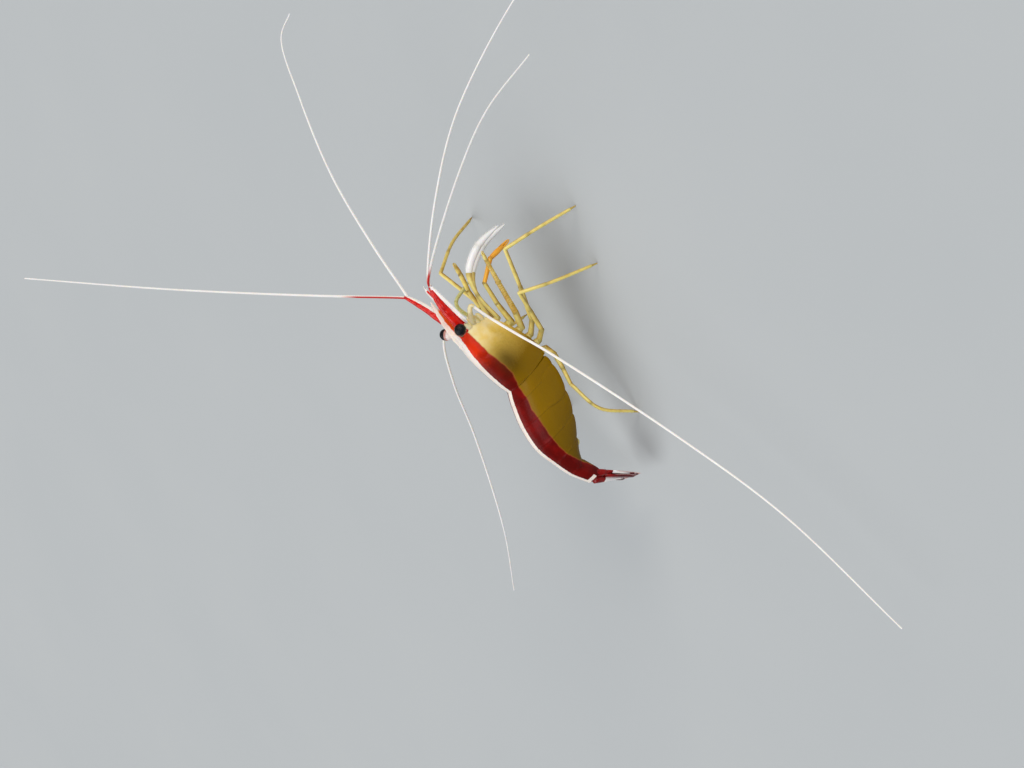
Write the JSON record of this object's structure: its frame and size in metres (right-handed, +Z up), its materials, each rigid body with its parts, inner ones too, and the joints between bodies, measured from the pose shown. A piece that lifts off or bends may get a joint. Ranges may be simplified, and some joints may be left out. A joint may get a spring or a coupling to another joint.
{
  "type": "cleaner shrimp",
  "caption": "Still life-size cleaner shrimp with a scarlet band and white stripe along its back, long white feelers, clawed front legs and slender walking legs, standing on its feet.",
  "frame": {"origin": "bottom centre of the whole model's bounding box, on the floor the feet stand on", "axes": "+X towards the head, +Y to the animal's left, +Z up"},
  "size_m": [0.1418, 0.1148, 0.0766],
  "materials": {
    "carapace": "glossy shell, cream yellow with a scarlet band and a white stripe along the back",
    "abdomen": "glossy shell, amber yellow with a scarlet band and a white stripe along the back",
    "tail": "glossy scarlet plates with white marks",
    "eye": "polished black",
    "eyestalk": "satin, pinkish white",
    "antennule": "glossy scarlet with white edges",
    "feeler": "satin white, scarlet at the root of the upper ones",
    "maxilliped": "satin white",
    "claw_leg": "satin, amber with orange claws",
    "walking_leg": "satin, translucent yellow",
    "swimmeret": "satin, translucent yellow"
  },
  "bodies": {
    "root": {"carapace": "carapace", "abdomen_1": "abdomen", "abdomen_2": "abdomen", "abdomen_3": "abdomen", "abdomen_4": "abdomen", "abdomen_5": "abdomen", "abdomen_6": "abdomen", "telson": "tail", "uropod_inner_right": "tail", "uropod_outer_right": "tail", "uropod_inner_left": "tail", "uropod_outer_left": "tail", "eyestalk_right": "eyestalk", "eye_right": "eye", "eyestalk_left": "eyestalk", "eye_left": "eye", "antennule_right": "antennule", "antenna_base_right": "carapace", "antennule_left": "antennule", "antenna_base_left": "carapace", "antennal_scale_right": "antennule", "antennal_scale_left": "antennule", "swimmeret_1_right": "swimmeret", "swimmeret_1_left": "swimmeret", "swimmeret_2_right": "swimmeret", "swimmeret_2_left": "swimmeret", "swimmeret_3_right": "swimmeret", "swimmeret_3_left": "swimmeret", "swimmeret_4_right": "swimmeret", "swimmeret_4_left": "swimmeret", "swimmeret_5_right": "swimmeret", "swimmeret_5_left": "swimmeret", "antennule_right_outer_flagellum": "feeler", "antennule_right_inner_flagellum": "feeler", "antennule_left_outer_flagellum": "feeler", "antennule_left_inner_flagellum": "feeler", "antenna_right_flagellum": "feeler", "antenna_left_flagellum": "feeler", "maxilliped_right": "maxilliped", "maxilliped_left": "maxilliped", "claw_leg_1_right": "claw_leg", "claw_leg_1_left": "claw_leg", "claw_leg_2_right": "claw_leg", "claw_leg_2_left": "claw_leg", "walking_leg_3_right_upper": "walking_leg", "walking_leg_3_right_lower": "walking_leg", "walking_leg_3_left_upper": "walking_leg", "walking_leg_3_left_lower": "walking_leg", "walking_leg_4_right_upper": "walking_leg", "walking_leg_4_right_lower": "walking_leg", "walking_leg_4_left_upper": "walking_leg", "walking_leg_4_left_lower": "walking_leg", "walking_leg_5_right_upper": "walking_leg", "walking_leg_5_right_lower": "walking_leg", "walking_leg_5_left_upper": "walking_leg", "walking_leg_5_left_lower": "walking_leg"}
  },
  "joints": []
}
